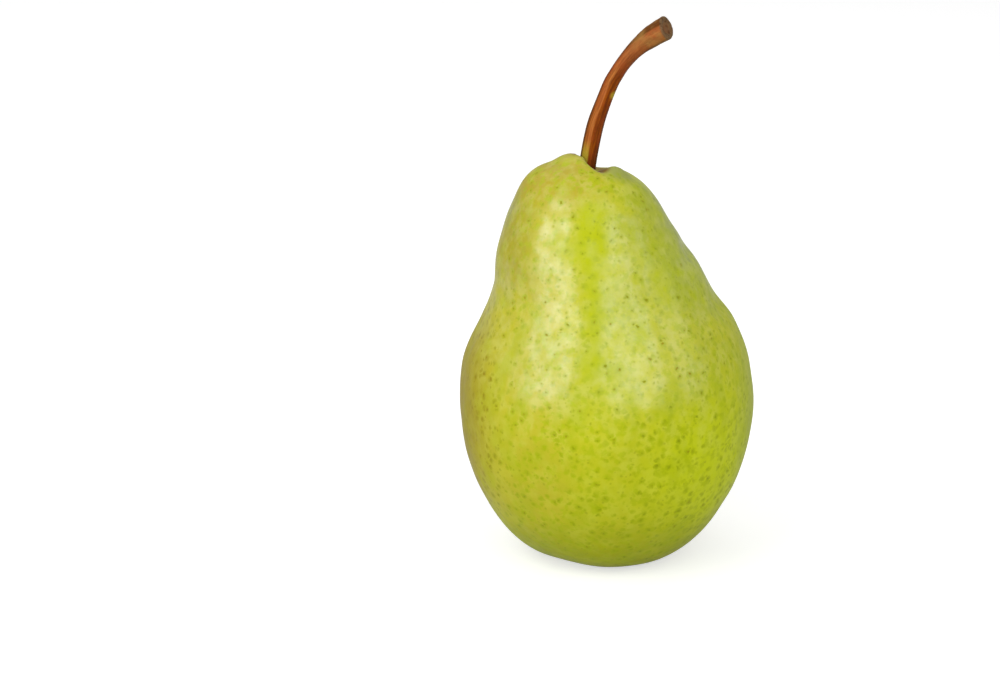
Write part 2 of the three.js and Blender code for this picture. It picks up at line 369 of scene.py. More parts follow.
# across, back and up from the root, then the half-width as a share of HALF_WIDTH
STEM_ROUTE = [
    (0, 0, 0.3, 1.0),
    (0.6, 0, 3.4, 1.02),
    (1.2, 0, 8, 1.06),
    (2.4, -0.1, 14.1, 1.05),
    (3.75, -0.4, 18.6, 1.0),
    (5.95, -0.9, 24.6, 0.95),
    (7.45, -1.3, 27.6, 0.93),
    (9.35, -1.7, 30.6, 0.94),
    (12.0, -2.3, 33.85, 1.06),
    (15.2, -2.9, 36.6, 1.32),
    (19.2, -3.6, 39.2, 1.46),
    (20.9, -3.9, 40.3, 1.44),
]


def smooth_route(points, steps):
    """A smooth curve through the points, with this many steps from each to the next."""
    before = 2 * points[0] - points[1]
    after = 2 * points[-1] - points[-2]
    row = [before, *points, after]
    route = []
    for a, b, c, d in zip(row, row[1:], row[2:], row[3:]):
        for step in range(steps):
            t = step / steps
            bend = (2 * a - 5 * b + 4 * c - d) * t**2 + (3 * b - a - 3 * c + d) * t**3
            route.append(b + ((c - a) * t + bend) / 2)
    return [*route, points[-1]]


route = smooth_route([Vector(point) for point in STEM_ROUTE], STEPS_BETWEEN)
centres = [(ROOT + point.to_3d()) * MM for point in route]
print("root, mm:", [round(value, 2) for value in ROOT], "stations:", len(centres))

# %% [markdown]
# ## The pipe
# A poly curve with one point per station carries a round section, wider where the station says
# so. It is made a mesh, so that its end can be cut and its bark carved.

# %% Run a pipe along the route
pipe = bpy.data.curves.new("stem_bark", "CURVE")
pipe.dimensions = "3D"
pipe.bevel_depth = HALF_WIDTH * MM
pipe.bevel_resolution = 12
pipe.use_fill_caps = True
line = pipe.splines.new("POLY")
line.points.add(len(route) - 1)
for point, centre, station in zip(line.points, centres, route):
    point.co = (*centre, 1)
    point.radius = station.w
bark = bpy.data.objects.new("stem_bark", pipe)
bpy.context.scene.collection.objects.link(bark)
take(bark)
bpy.ops.object.convert(target="MESH")
count(bark)

# %% [markdown]
# ## The club's end
# The stem broke from its twig at a slant. A bisect cuts the pipe at that slant and caps it with
# one face, which stays selected for the next step. A boolean with a tilted block would cut it
# too, but it would need a second object.

# %% Cut the end of the stem
SCAR = (ROOT + Vector((18.9, -3.5, 39.0))) * MM
SCAR_WAY = Vector((0.8, -0.43, 0.39)).normalized()
IN_THE_CUT = 0.999

edit_all_of(bark)
bpy.ops.mesh.remove_doubles(threshold=TOUCHING)
bpy.ops.mesh.bisect(plane_co=SCAR, plane_no=SCAR_WAY, use_fill=True, clear_outer=True)
bpy.ops.mesh.select_mode(type="FACE")
bpy.ops.object.mode_set(mode="OBJECT")
caps = [face for face in bark.data.polygons if face.normal.dot(SCAR_WAY) > IN_THE_CUT]
cut_middle = max(caps, key=lambda face: face.area).center.copy()
print("middle of the cut, mm:", [round(value / MM, 1) for value in cut_middle])

# %% [markdown]
# ## The scar
# The break left a rounded rim round a shallow dish of dry fibres. The cap is extruded again and
# again, each time scaled a little smaller: forwards over the rim, back down into the dish, and
# forwards once more at the pith in its middle. One subdivision then rounds the whole stem.

# %% Dish the scar
# how far forward of the cut each ring stands, in mm, and its size as a share of the cut's
SCAR_RINGS = [
    (0.2, 0.98),
    (0.42, 0.92),
    (0.5, 0.84),
    (0.4, 0.74),
    (0.16, 0.62),
    (0.02, 0.4),
    (0.1, 0.15),
]

bpy.ops.object.mode_set(mode="EDIT")
last_forward = 0.0
last_share = 1.0
for forward, share in SCAR_RINGS:
    step_out = SCAR_WAY * (forward - last_forward) * MM
    extrude(step_out, [share / last_share] * 3, cut_middle + SCAR_WAY * forward * MM)
    last_forward = forward
    last_share = share
bpy.ops.mesh.poke()
bpy.ops.object.mode_set(mode="OBJECT")
finish_with(bark, "SUBSURF", levels=1, render_levels=1)
count(bark)

# %% [markdown]
# ## The wood's own directions
# Grain runs along a stem and bends with it. So every point of the wood stores where it would lie
# if the stem were straight: its place across, its place back, and its distance from the root.
# Both the carved grain and the painted grain use these stored places.

# %% Store the straightened places
lengths = [0.0]
for one, other in zip(centres, centres[1:]):
    lengths.append(lengths[-1] + (other - one).length)
stations = KDTree(len(centres))
for index, centre in enumerate(centres):
    stations.insert(centre, index)
stations.balance()


def straightened(point):
    """Where a point would lie if the stem were straight, in mm, and which way is outwards."""
    _, index, _ = stations.find(point)
    before, after = max(index - 1, 0), min(index + 1, len(centres) - 1)
    way = (centres[after] - centres[before]).normalized()
    offset = point - centres[index]
    forward = offset.dot(way)
    offset -= way * forward
    sideways = Vector((0, 1, 0)).cross(way).normalized()
    back = way.cross(sideways)
    straight = Vector((offset.dot(sideways), offset.dot(back), lengths[index] + forward)) / MM
    return straight, offset.normalized()


straight_places = [straightened(vertex.co) for vertex in bark.data.vertices]
attribute = bark.data.attributes.new("straight", "FLOAT_VECTOR", "POINT")
for value, (straight, _) in zip(attribute.data, straight_places):
    value.vector = straight
stem_length = max(straight.z for straight, _ in straight_places)
print("stem length, mm:", round(stem_length, 1))

# %% [markdown]
# ## Carve the grain
# The wood dried into fine lengthwise ridges. It swells a little at an old node, and the club is
# wrinkled where the bark has shrunk. Smooth noise, stretched along the stem, pushes every point
# in or out, by less than a fifth of a millimetre, and by less towards the middle of the scar.

# %% Carve the ridges, the node and the wrinkles
# each noise's fineness across and along the stem, where it starts, and its height in mm
RIDGES = [(1.1, 0.07, 0, 0.09), (2.6, 0.15, 9, 0.04)]
WRINKLES = (0.9, 0.8, 4, 0.09)
CLUB_FROM = (33, 38)
SHRUNK = 0.05
SCAR_MIDDLE = (0, 1.2)
NODE_ANGLE = math.radians(175)
NODE_ALONG = 25
NODE_WIDTH = 1.2
NODE_LENGTH = 2
NODE_RISE = 0.05


def lengthwise(straight, fine_across, fine_along, start, rise):
    """The height of a noise whose lumps are long and lie along the stem."""
    x, y, along = straight
    return noise.noise(Vector((x * fine_across, y * fine_across, along * fine_along + start))) * rise


def old_node(straight):
    """The height of the old node, which is a soft bump on one side of the stem."""
    turn = math.atan2(straight.y, straight.x) - NODE_ANGLE
    sideways = math.atan2(math.sin(turn), math.cos(turn)) * HALF_WIDTH / NODE_WIDTH
    lengthways = (straight.z - NODE_ALONG) / NODE_LENGTH
    return NODE_RISE * math.exp(-(sideways**2) - lengthways**2)


def carved(straight):
    """How far, in mm, a point of the stem is moved outwards."""
    move = old_node(straight) - SHRUNK
    for ridges in RIDGES:
        move += lengthwise(straight, *ridges)
    move += lengthwise(straight, *WRINKLES) * progress(straight.z, *CLUB_FROM)
    return move * progress(straight.xy.length, *SCAR_MIDDLE)


moves = [carved(straight) for straight, _ in straight_places]
for vertex, (_, way), move in zip(bark.data.vertices, straight_places, moves):
    vertex.co += way * move * MM
smooth(bark)
print("moved outwards by, mm:", round(min(moves), 2), "to", round(max(moves), 2))

# %% [markdown]
# ## The calyx
# Under a pear sits what is left of its flower: a short dry cup, five sepals that curled back as
# they dried, and the stubs of the stamens. It hangs mouth down from the roof of the basin.
# The cup is a disc extruded down and out and then back up inside, so its wall has a real
# thickness. A lathe would turn it too, but the rings are as easy to read as a list.

# %% Shape the cup
# The solid's five sepals reach this far from the cup's axis, and one of them points right.
SEPAL_REACH = 5.3
BELOW_ROOF = 0.05
calyx_low, calyx_high = (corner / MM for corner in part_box("calyx"))
axis_back = (calyx_low.y + calyx_high.y) / 2
CALYX = Vector((calyx_high.x - SEPAL_REACH, axis_back, calyx_high.z - BELOW_ROOF)) * MM
# half-width and drop below the cup's top, from the outer top to the inner top
CUP_RINGS = [
    (2.3, 0),
    (2.75, 0.5),
    (2.85, 1.2),
    (2.8, 1.85),
    (2.55, 1.95),
    (2.2, 1.5),
    (1.9, 0.9),
    (0.7, 0.75),
]

disc = {"vertices": 40, "radius": CUP_RINGS[0][0] * MM, "fill_type": "NGON"}
cup = start_from(bpy.ops.mesh.primitive_circle_add, "dry_calyx", **disc)
edit_all_of(cup)
for (half_width, drop), (next_half_width, next_drop) in zip(CUP_RINGS, CUP_RINGS[1:]):
    fall = Vector((0, 0, drop - next_drop)) * MM
    wider = next_half_width / half_width
    extrude(fall, (wider, wider, 1), (0, 0, -next_drop * MM))
bpy.ops.mesh.poke()
bpy.ops.mesh.select_all(action="SELECT")
bpy.ops.mesh.normals_make_consistent(inside=False)
bpy.ops.object.mode_set(mode="OBJECT")
print("the cup hangs at, mm:", [round(value / MM, 2) for value in CALYX])
count(cup)

# %% [markdown]
# ## One sepal
# A sepal is a thin pointed blade. It starts as one small face across its root, whose far edge is
# then selected by its place. That edge is extruded again and again, each time narrower and turned
# a little further down, then back up at the tip. Bending a flat blade with a modifier would not
# narrow it on the way.

# %% Lay out one sepal
SEPAL_ROOT = (0.5, 2.6)
# length and width of each step, in mm, and how far it turns down, in degrees
SEPAL_STEPS = [
    (0.7, 2.5, 22),
    (0.8, 2.3, 22),
    (0.8, 1.9, 12),
    (0.8, 1.4, -6),
    (0.7, 0.9, -34),
    (0.6, 0.35, -48),
]

sepal = start_from(bpy.ops.mesh.primitive_plane_add, "sepal", size=MM)
edit_all_of(sepal)
bpy.ops.transform.resize(value=(*SEPAL_ROOT, 1), center_override=(0, 0, 0))
bpy.ops.mesh.select_mode(type="EDGE")
bpy.ops.object.mode_set(mode="OBJECT")
for part in (*sepal.data.vertices, *sepal.data.edges, *sepal.data.polygons):
    part.select = False
for edge in sepal.data.edges:
    edge.select = all(sepal.data.vertices[index].co.x > 0 for index in edge.vertices)
bpy.ops.object.mode_set(mode="EDIT")
far_edge = Vector((SEPAL_ROOT[0] / 2, 0, 0)) * MM
blade_width = SEPAL_ROOT[1]
pitch = 0.0
for length, next_width, bend in SEPAL_STEPS:
    pitch += math.radians(bend)
    advance = Vector((math.cos(pitch), 0, -math.sin(pitch))) * length * MM
    far_edge += advance
    extrude(advance, (1, next_width / blade_width, 1), far_edge)
    blade_width = next_width
bpy.ops.object.mode_set(mode="OBJECT")
count(sepal)

# %% [markdown]
# ## The blade's thickness
# The dried blade is arched from side to side and as thick as card. It is divided finely enough to
# arch, its edges are let down, and Solidify gives it thickness. One blade is enough, because the
# five are copies of it.

# %% Arch and thicken the sepal
SEPAL_THICKNESS = 0.22
# how far a point drops, in mm, for each square millimetre of its distance from the midrib
ARCH = 0.04

edit_all_of(sepal)
bpy.ops.mesh.subdivide(number_cuts=3)
bpy.ops.object.mode_set(mode="OBJECT")
for vertex in sepal.data.vertices:
    vertex.co.z -= ARCH * (vertex.co.y / MM) ** 2 * MM
finish_with(sepal, "SOLIDIFY", thickness=SEPAL_THICKNESS * MM, offset=0)
finish_with(sepal, "SUBSURF", levels=1, render_levels=1)
count(sepal)

# %% [markdown]
# ## One stamen
# What is left of a stamen is a stiff dry thread, a little thinner at its tip. A cone has that
# taper already, and a bevel takes the machine-sharp edge off both ends.

# %% Model one stamen
STAMEN_LENGTH = 1.6
STAMEN_TIP = 0.09
STAMEN_ROOT = 0.17
STAMEN_ROUNDING = 0.05

cone = {"vertices": 10, "depth": STAMEN_LENGTH * MM}
ends = {"radius1": STAMEN_TIP * MM, "radius2": STAMEN_ROOT * MM}
stamen = start_from(bpy.ops.mesh.primitive_cone_add, "stamen", **cone, **ends)
edit_all_of(stamen)
bpy.ops.transform.translate(value=(0, 0, -STAMEN_LENGTH / 2 * MM))
bpy.ops.mesh.bevel(offset=STAMEN_ROUNDING * MM, segments=2)
bpy.ops.object.mode_set(mode="OBJECT")
count(stamen)

# %% [markdown]
# ## Round the cup
# The copies stand in a ring. No two sepals of a real flower are alike, so a seeded chance turns,
# tips, twists and sizes each of them a little, the same way every time.

# %% Stand the copies round the cup
dice = random.Random(7)
# the most that chance adds to a copy's turn, in radians, and to its lean and twist, in degrees
TURN_CHANCE = 0.12
LEAN_CHANCE = 9
TWIST_CHANCE = 10
SIZES = (0.88, 1.04)


def either_way(most):
    """A chance amount, up to the most, to either side."""
    return dice.uniform(-most, most)


def set_round(master, number, out, drop, lean, first=0.0):
    """Copies of a part round the cup: its distance out, its drop, and its lean in degrees."""
    copies = []
    for index in range(number):
        turn = first + math.tau * index / number + either_way(TURN_CHANCE)
        tip = Matrix.Rotation(math.radians(lean + either_way(LEAN_CHANCE)), 4, "Y")
        twist = Matrix.Rotation(math.radians(either_way(TWIST_CHANCE)), 4, "X")
        size = Matrix.Diagonal((*[dice.uniform(*SIZES)] * 3, 1))
        stand = Matrix.Translation(Vector((out, 0, -drop)) * MM)
        mesh = master.data.copy()
        mesh.transform(Matrix.Rotation(turn, 4, "Z") @ stand @ tip @ twist @ size)
        copy = bpy.data.objects.new(master.name, mesh)
        bpy.context.scene.collection.objects.link(copy)
        copies.append(copy)
    bpy.data.objects.remove(master)
    return copies


blades = set_round(sepal, 5, out=2.3, drop=1.5, lean=4)
threads = set_round(stamen, 9, out=1.25, drop=0.7, lean=-14, first=0.3)
print("round the cup:", len(blades), "sepals and", len(threads), "stamens")

# %% [markdown]
# ## One dried piece
# Cup, sepals and stamens dried into one piece, so they are joined. A fine noise then shrivels
# them together. Blender draws the start of a vector noise from the clock unless it gets a seed.

# %% Join and shrivel the calyx
# each noise's fineness, and how far it moves a point, in mm
CRUMPLES = [(0.9, 0.14), (3, 0.04)]
noise.seed_set(7)

take(cup)
for piece in (*blades, *threads):
    piece.select_set(True)
bpy.ops.object.join()
edit_all_of(cup)
bpy.ops.transform.translate(value=CALYX)
bpy.ops.mesh.normals_make_consistent(inside=False)
bpy.ops.object.mode_set(mode="OBJECT")
for vertex in cup.data.vertices:
    place = vertex.co / MM
    for fineness, reach in CRUMPLES:
        vertex.co += noise.noise_vector(place * fineness) * reach * MM
smooth(cup)
count(cup)

# %% [markdown]
# ## Shader sums in Python
# The finishes below are worked out from many small masks, such as "low on the pear" times "near a
# spot". Written as nodes by hand they would fill pages, so one small class wraps a socket and lets
# Python's own signs add the Math nodes. Colours and vectors have methods of their own.

# %% Define the socket class
class Wire:
    """One output socket of a material. Sums of wires and numbers add Math nodes."""

    def __init__(self, socket):
        self.socket = socket

    def node(self, kind, settings, inputs, output=0):
        """Adds a node to the same material: first its settings, then its sockets."""
        tree = self.socket.id_data
        made = tree.nodes.new(kind)
        for name, value in settings.items():
            setattr(made, name, value)
        for name, value in inputs.items():
            if isinstance(value, Wire):
                tree.links.new(value.socket, made.inputs[name])
            else:
                made.inputs[name].default_value = value
        return Wire(made.outputs[output])

    def other(self, output):
        """Another output of the same node."""
        return Wire(self.socket.node.outputs[output])

    def maths(self, operation, *values):
        """A Math node on numbers and wires."""
        return self.node("ShaderNodeMath", {"operation": operation}, dict(enumerate(values)))

    def __add__(self, value):
        return self.maths("ADD", self, value)

    def __sub__(self, value):
        return self.maths("SUBTRACT", self, value)

    def __rsub__(self, value):
        return self.maths("SUBTRACT", value, self)

    def __mul__(self, value):
        return self.maths("MULTIPLY", self, value)

    def __truediv__(self, value):
        return self.maths("DIVIDE", self, value)

    __radd__ = __add__
    __rmul__ = __mul__

    def ramp(self, start, end):
        """0 where the value is at start, 1 at end, and an S-curve between; start may be higher."""
        if start > end:
            return 1 - self.ramp(end, start)
        settings = {"interpolation_type": "SMOOTHSTEP"}
        limits = {"From Min": start, "From Max": end}
        return self.node("ShaderNodeMapRange", settings, {"Value": self, **limits})

    def vector_maths(self, operation, vector, output="Vector"):
        """A Vector Math node on this vector and another."""
        both = {0: self, 1: vector}
        return self.node("ShaderNodeVectorMath", {"operation": operation}, both, output)

    def scaled(self, factors):
        """A vector times three factors."""
        return self.vector_maths("MULTIPLY", factors)

    def shifted(self, offset):
        """A vector plus another."""
        return self.vector_maths("ADD", offset)

    def away_from(self, point):
        """The distance from a vector to a point."""
        return self.vector_maths("DISTANCE", point, "Value")

    def along(self, way):
        """How far a vector reaches along a way."""
        return self.vector_maths("DOT_PRODUCT", way, "Value")

    def turned(self, angle, axis):
        """A vector turned about an axis through the origin, by an angle in degrees."""
        inputs = {"Vector": self, "Angle": math.radians(angle), "Axis": axis}
        return self.node("ShaderNodeVectorRotate", {}, inputs)

    def parts(self):
        """The three numbers of a vector or colour."""
        split = self.node("ShaderNodeSeparateXYZ", {}, {"Vector": self})
        return split, split.other("Y"), split.other("Z")

    def noise(self, size, seed, detail=2.0, stretch=(1, 1, 1)):
        """Soft noise from 0 to 1 whose lumps are about this size, in the vector's own units."""
        lumps = self.scaled([share / size for share in stretch]).shifted(seed)
        inputs = {"Vector": lumps, "Scale": 1.0, "Detail": detail}
        return self.node("ShaderNodeTexNoise", {}, inputs)

    def tinted(self, none, full):
        """A colour that is the first one where this value is 0 and the second where it is 1."""
        return self.node("ShaderNodeMix", {"data_type": "RGBA"}, {0: self, 6: none, 7: full}, 2)

    def tint(self, other_colour, share):
        """This wire's colour turned towards another by a share."""
        settings = {"data_type": "RGBA", "clamp_factor": True}
        return self.node("ShaderNodeMix", settings, {0: share, 6: self, 7: other_colour}, 2)


print("a wire has", sum(callable(part) for part in vars(Wire).values()), "methods")

# %% [markdown]
# ## Colours, coordinates and bumps
# A few more helpers: screen colours as a shader wants them, a new material on a piece, the
# piece's own coordinates in millimetres, and a bump whose height is in millimetres too. After
# each step the nodes are counted, since a material with many of them renders slowly.

# %% Define the material helpers
def colour(red, green, blue):
    """A screen colour, 0 to 255, as the linear colour that a shader takes."""
    shares = [value / 255 for value in (red, green, blue)]
    return [s / 12.92 if s <= 0.04045 else ((s + 0.055) / 1.055) ** 2.4 for s in shares] + [1.0]


def new_material(name, piece, **finish):
    """A material on the piece, with the values that are the same all over; returns its shader."""
    material = bpy.data.materials.new(name)
    material.use_nodes = True
    piece.data.materials.append(material)
    shader = material.node_tree.nodes["Principled BSDF"]
    for socket, value in finish.items():
        shader.inputs[socket.replace("_", " ")].default_value = value
    return shader


def coordinates(shader):
    """The piece's own coordinates in millimetres."""
    places = shader.id_data.nodes.new("ShaderNodeTexCoord")
    return Wire(places.outputs["Object"]).scaled([1 / MM] * 3)


def connect(shader, **wires):
    """Joins wires to the shader's sockets of the same names."""
    for socket, wire in wires.items():
        shader.id_data.links.new(wire.socket, shader.inputs[socket.replace("_", " ")])


def bumped(height):
    """A normal from a height in millimetres."""
    inputs = {"Height": height, "Distance": MM, "Strength": 1.0}
    return height.node("ShaderNodeBump", {}, inputs, "Normal")


def count_nodes(work, shader):
    """Prints how many nodes a material has after a piece of work."""
    print(f"{work}: {len(shader.id_data.nodes)} nodes")


print("a screen grey of 128 is", round(colour(128, 128, 128)[0], 3), "to a shader")

# %% [markdown]
# ## The skin's colour
# The skin is thin and waxy. Its colour changes slowly over the fruit: yellow-green in front, a
# warmer, browner side that had the sun, a clearer green down the middle and on the shaded side.
# Painted shade also darkens the far left edge, the right of the neck and the base. A scan of a
# real skin would repeat or stretch. Soft masks of height and width put each tint in its place,
# and a slow noise shifts their edges so that no mask shows as a stripe. A little sheen pales the
# skin where it turns away, as the dust of the bloom does.

# %% Lay the broad colours
DRIFT = 9
gloss = {"IOR": 1.3, "Specular_IOR_Level": 0.15, "Coat_IOR": 1.7, "Coat_Roughness": 0.22}
dusty_edge = {"Sheen_Weight": 0.13, "Sheen_Roughness": 0.35}
skin_shader = new_material("pear_skin", skin, **gloss, **dusty_edge)
on_skin = coordinates(skin_shader)
across, _, height = on_skin.parts()
drift = (on_skin.noise(13, seed=(6, 2, 8)) - 0.5) * DRIFT
low_down = height.ramp(58, 26)
top = height.ramp(88, 97)

patches = on_skin.noise(17, detail=3, seed=(4, 1, 7)).ramp(0.38, 0.62)
paint = patches.tinted(colour(188, 190, 34), colour(180, 186, 22))
# warmer from the middle to the left, and browner towards the sun
paint = paint.tint(colour(186, 178, 44), across.ramp(-4, -16) * 0.8)
paint = paint.tint(colour(160, 150, 14), across.ramp(-15, -24) * height.ramp(66, 78) * 0.8)
# the far left edge: browner where it had the sun, and darker as painted shade where the skin turns
# away from the light
paint = paint.tint(colour(142, 124, 4), across.ramp(-25, -38) * 0.95)
# clearer and greener to the right: the belly, the neck, then the far side
paint = paint.tint(colour(193, 204, 12), across.ramp(0, 24) * height.ramp(58, 32))
# the right of the neck: greener, and darker as painted shade on the side away from the main light
paint = paint.tint(colour(169, 185, 0), (across + drift).ramp(3, 20) * height.ramp(62, 78) * 0.8)
paint = paint.tint(colour(162, 174, 2), across.ramp(28, 37) * 0.9)
# darker and duller underneath, partly its own olive and partly painted shade near the table, and
# straw-coloured round the hollow on the left
paint = paint.tint(colour(164, 170, 0), height.ramp(22, 4))
paint = paint.tint(colour(172, 152, 40), top * across.ramp(4, -10) * 0.8)
count_nodes("broad colours laid", skin_shader)

# %% [markdown]
# ## Mottling
# Under the wax the flesh shows through unevenly, in paler patches a few millimetres wide, in
# greener clouds and in small freckles, all fainter on the side that had the sun. Three noises of
# different sizes give them, since one noise with much detail would look like dirt.

# %% Add the mottling
mottle = on_skin.noise(3.2, detail=4, seed=(9, 3, 2)).ramp(0.38, 0.68)
clouds = on_skin.noise(6, detail=3, stretch=(1, 1, 0.6), seed=(2, 8, 5)).ramp(0.48, 0.64)
freckles = on_skin.noise(1.7, seed=(3, 3, 8)).ramp(0.5, 0.66)
pale = low_down.tinted(colour(206, 206, 112), colour(206, 212, 76))
out_of_sun = 0.3 + across.ramp(-36, -24) * 0.7
paint = paint.tint(pale, mottle * (0.34 - low_down * 0.1) * out_of_sun)
paint = paint.tint(colour(164, 178, 0), clouds * 0.38 * out_of_sun)
paint = paint.tint(colour(166, 180, 0), freckles * 0.6 * across.ramp(-30, -14))
count_nodes("mottled", skin_shader)

# %% [markdown]
# ## The green streak
# One streak of clear green runs down the front, wide on the neck, narrow and broken on the belly.
# It is painted where the distance from its wandering middle line, counted in half-widths, is small.

# %% Paint the streak
broken = on_skin.noise(6, detail=3, stretch=(1, 1, 0.6), seed=(7, 7, 3)).ramp(0.42, 0.58)
streak_half = 1.9 + height.ramp(68, 80) * 1.1
from_line = (across + drift * 0.4 + 5.2 - height.ramp(64, 80) * 1.2) / streak_half
streak = from_line.ramp(-1.8, -0.5) * from_line.ramp(1.8, 0.5)
streak = streak * height.ramp(46, 64) * height.ramp(96, 90)
streak = streak * (0.2 + broken * 0.45 + height.ramp(74, 82) * 0.5)
beside_streak = on_skin.away_from((-10, -19, 82)).ramp(5.5, 2)
green_side = on_skin.scaled((1, 1, 0.5)).away_from((11.5, -19, 37)).ramp(4.5, 1.5)
paint = paint.tint(colour(178, 186, 0), streak + beside_streak * 0.4 + green_side * 0.35)
count_nodes("streak painted", skin_shader)

# %% [markdown]
# ## Russet, and painted shade in the hollow
# Rain stands in the hollow round the stem, and the skin there turns brown and corky. The brown
# is darkest in the fold where the lip of the hollow runs out, and beyond it the skin is a dull
# grey-green. The thin brown ring right against the stem and the dark brown in the fold are also
# painted shade, where the walls of the hollow turn away from the light. The basin round the dry
# flower is a little corky too. Distances from the stem, from the fold and from the basin place
# these tints.

# %% Brown the hollow and the basin, with painted shade in the hollow
beyond_fold = on_skin.away_from((1.6, -5.5, 98.5)).ramp(6.5, 2.5)
paint = paint.tint(colour(150, 158, 70), beyond_fold * 0.8)
from_stem = on_skin.scaled((1, 1, 0)).away_from((HOLLOW.x, HOLLOW.y, 0))
# the ring right against the stem is russet and painted shade of the hollow's inner wall; the wider
# brown on the left is russet
russet_and_shade = from_stem.ramp(3.9, 3.1) + from_stem.ramp(7.6, 5.6) * across.ramp(-5, -3)
paint = paint.tint(colour(142, 104, 48), russet_and_shade * height.ramp(90, 94) * 0.8)
# the fold: russet darkened further as painted shade
fold_russet_and_shade = on_skin.away_from((-2.2, -6.1, 98.3)).ramp(3.2, 1.4)
paint = paint.tint(colour(116, 74, 18), fold_russet_and_shade * 0.85)
in_basin = on_skin.away_from((0.4, 0.2, 3)).ramp(11.5, 5.5)
paint = paint.tint(colour(158, 136, 52), in_basin * (0.25 + clouds * 0.4))
count_nodes("russet painted", skin_shader)

# %% [markdown]
# ## Breathing pores
# Hundreds of small pores dot the skin, each a dark point in a soft green halo. They are flat, so
# they are colour and not shape: points scattered through space show as spots of many sizes where
# the skin cuts through them. The spots fade out before they meet, and noise bends their edges,
# since no real pore is a circle. The space is turned, so that the rows of the scatter never
# follow the height of the pear.

# %% Define the scatter of pores
WAVER_SIZE = 1 / 0.9


def scattered(cell, bend, seed):
    """Pores about a cell apart, in mm: the distance to the nearest one, a fade, its own chances."""
    waver = on_skin.noise(WAVER_SIZE, seed=(0, 0, 0), detail=3).other("Color")
    moved = on_skin.shifted(waver.scaled([bend] * 3)).shifted(seed).turned(50, (1, 2, 3))
    spots = {"Vector": moved, "Scale": 1 / cell}
    nearest = on_skin.node("ShaderNodeTexVoronoi", {}, spots)
    border = on_skin.node("ShaderNodeTexVoronoi", {"feature": "DISTANCE_TO_EDGE"}, spots)
    return nearest * cell, (border * cell).ramp(0.0, 0.25), *nearest.other("Color").parts()


print("the scatter gives: distance, fade, and three chances")

# %% [markdown]
# ## Large and small pores
# Two scatters are enough: pores with a halo and a dark core, and small specks between them. Each
# has a chance of its own to be left out, so that they stand closest low down and on the shaded
# side. On the sunny side they are brown instead of green.

# %% Scatter the pores
# the share of the pores that is kept
crowding = 0.82 + low_down * 0.1 + across.ramp(8, 34) * 0.05
from_pore, apart, chance, size, hue = scattered(2.15, 1.4, (31, 17, 5))
there = (crowding - chance).ramp(0.0, 0.06) * apart
halo = (from_pore / (0.5 + size * 0.38)).ramp(1.6, 0.5) * there
core = (from_pore / (0.12 + size * 0.18)).ramp(1.8, 0.6) * there
from_speck, speck_apart, speck_chance, speck_size, _ = scattered(1.5, 0.9, (3, 41, 23))
speck_there = (crowding - 0.12 - speck_chance).ramp(0.0, 0.08) * speck_apart
speck = (from_speck / (0.14 + speck_size * 0.26)).ramp(1.6, 0.2) * speck_there

sunny = across.ramp(-8, -20)
browned = across.ramp(-22, -32)
halo_paint = browned.tinted(colour(158, 171, 0), colour(148, 136, 6))
speck_paint = browned.tinted(colour(138, 148, 0), colour(136, 118, 4))
paint = paint.tint(halo_paint, halo * (0.6 + low_down * 0.2))
paint = paint.tint(speck_paint, speck * 0.55)
brownish = hue.ramp(0.6, 0.9) + sunny * 0.6 + height.ramp(45, 60) * 0.35
pore_paint = brownish.tinted(colour(112, 120, 0), colour(136, 98, 6))
paint = paint.tint(pore_paint, core * (0.55 - low_down * 0.15))
count_nodes("pores scattered", skin_shader)

# %% [markdown]
# ## Wax
# The neck and shoulders are waxier than the base and shine more, and the pores are dull. The
# surface is not quite smooth either: shallow dimples break the reflections into soft patches. A
# coat layer is the wax, and a bump gives the dimples, too shallow to be worth modelling.

# %% Add the wax and the dimples
bloom = on_skin.noise(4, detail=3, seed=(8, 2, 6)).ramp(0.34, 0.62)
glints = on_skin.noise(2.9, detail=3, seed=(5, 9, 4)).ramp(0.38, 0.64)
waxy = height.ramp(43, 54) * (1 - top * 0.85) * across.ramp(30, 19) * across.ramp(-34, -22)
wax = (0.3 + bloom * 0.4 + glints * 0.55) * waxy * (1 - core) * (1 - speck * 0.6)
wax = wax * (1 - streak * 0.8) * (1 - beside_streak * 0.35) * (1 - green_side * 0.6)
grain = on_skin.noise(0.45, seed=(6, 6, 1))
dimples = on_skin.noise(3, detail=3, seed=(1, 5, 8))
ripples = on_skin.noise(9, seed=(7, 4, 9))
relief = grain * 0.006 + dimples * 0.16 + ripples * 0.3 - core * 0.02
connect(
    skin_shader,
    Base_Color=paint,
    Roughness=0.45 + mottle * 0.08 + core * 0.1,
    Coat_Weight=wax + 0.02,
    Normal=bumped(relief),
)
count_nodes("skin painted", skin_shader)

# %% [markdown]
# ## The stem's finish
# The bark is red-brown with darker grain. A paler orange streak in front on the left is a painted
# highlight, and darker bands along both edges are painted shade. At the root it is still green
# from the flesh. The paint uses the stored straightened places, so that its grain bends with the
# wood: on plain coordinates it would run straight through.

# %% Paint the stem
bark_shader = new_material("pear_stem", bark, Specular_IOR_Level=0.08)
straight_node = bark_shader.id_data.nodes.new("ShaderNodeAttribute")
straight_node.attribute_name = "straight"
wood = Wire(straight_node.outputs["Vector"])
right, behind, along = wood.parts()

fibres = wood.noise(0.5, detail=4, stretch=(1, 1, 0.09), seed=(3, 1, 4)).ramp(0.35, 0.65)
fine = wood.noise(0.22, stretch=(1, 1, 0.07), seed=(8, 1, 1)).ramp(0.35, 0.65)
blotches = wood.noise(2.2, detail=3, stretch=(1, 1, 0.5), seed=(1, 6, 2)).ramp(0.4, 0.65)
sway = wood.noise(3.5, stretch=(0.3, 0.3, 1), seed=(5, 5, 5)) - 0.5
# painted highlight: a paler orange streak down the front left of the stem
painted_highlight = (right + sway * 0.4).ramp(-0.25, -0.6) * right.ramp(-2.2, -0.7) * behind.ramp(0.3, -0.6)
upper = along.ramp(26, 38)

